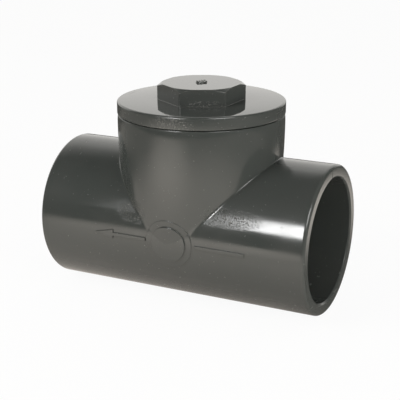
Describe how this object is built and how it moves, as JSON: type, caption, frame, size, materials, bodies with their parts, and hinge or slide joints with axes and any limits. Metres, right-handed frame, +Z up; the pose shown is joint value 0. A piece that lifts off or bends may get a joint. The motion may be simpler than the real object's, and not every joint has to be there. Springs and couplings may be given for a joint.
{
  "type": "backwater valve",
  "caption": "Inline swing check valve for a 63 mm plastic drain: tee body with two solvent sockets, hinged flap that lets flow one way, and a screwed hexagon bonnet.",
  "frame": {"origin": "where the axis of the run crosses the axis of the chamber", "axes": "+X along the run towards the inlet, +Z up the chamber to the bonnet"},
  "size_m": [0.146, 0.085, 0.1121],
  "materials": {
    "pvc": "moulded PVC-U, satin to glossy",
    "flap_plastic": "moulded polypropylene, fine grain",
    "bush_plastic": "turned acetal",
    "rubber": "moulded EPDM",
    "steel": "stainless steel, as turned and stamped"
  },
  "bodies": {
    "housing": {"valve_body": "pvc", "seat_ring": "pvc", "seat_o_ring": "rubber", "hinge_bracket": "steel", "bracket_screw_front": "steel", "bracket_screw_back": "steel", "bracket_washer_front": "steel", "bracket_washer_back": "steel", "hinge_pin": "steel", "pin_circlip_front": "steel", "pin_circlip_back": "steel"},
    "flap": {"flap_arm": "flap_plastic", "flap_disc": "flap_plastic", "flap_seal": "rubber", "seal_retainer": "steel", "flap_bolt": "steel", "flap_washer": "steel", "flap_spring_washer": "steel", "flap_nut": "steel", "arm_bush_front": "bush_plastic", "arm_bush_back": "bush_plastic"},
    "bonnet_seal": {"bonnet_o_ring": "rubber"},
    "bonnet_cap": {"bonnet": "pvc"}
  },
  "joints": [
    {"name": "flap_swing", "type": "hinge", "parent": "housing", "child": "flap", "pos_m": [0.01903, 0, 0.03489], "axis": [0, 1, 0], "range_deg": [0, 62]},
    {"name": "bonnet_lift", "type": "slide", "parent": "housing", "child": "bonnet_seal", "axis": [0, 0, 1], "range_m": [0, 0.016]},
    {"name": "bonnet_turn", "type": "hinge", "parent": "bonnet_seal", "child": "bonnet_cap", "pos_m": [0, 0, 0.058], "axis": [0, 0, 1], "range_deg": [0, 1440]}
  ],
  "couplings": [
    {"joint": "bonnet_lift", "follows": "bonnet_turn", "m_per_rad": 0.0006366}
  ]
}
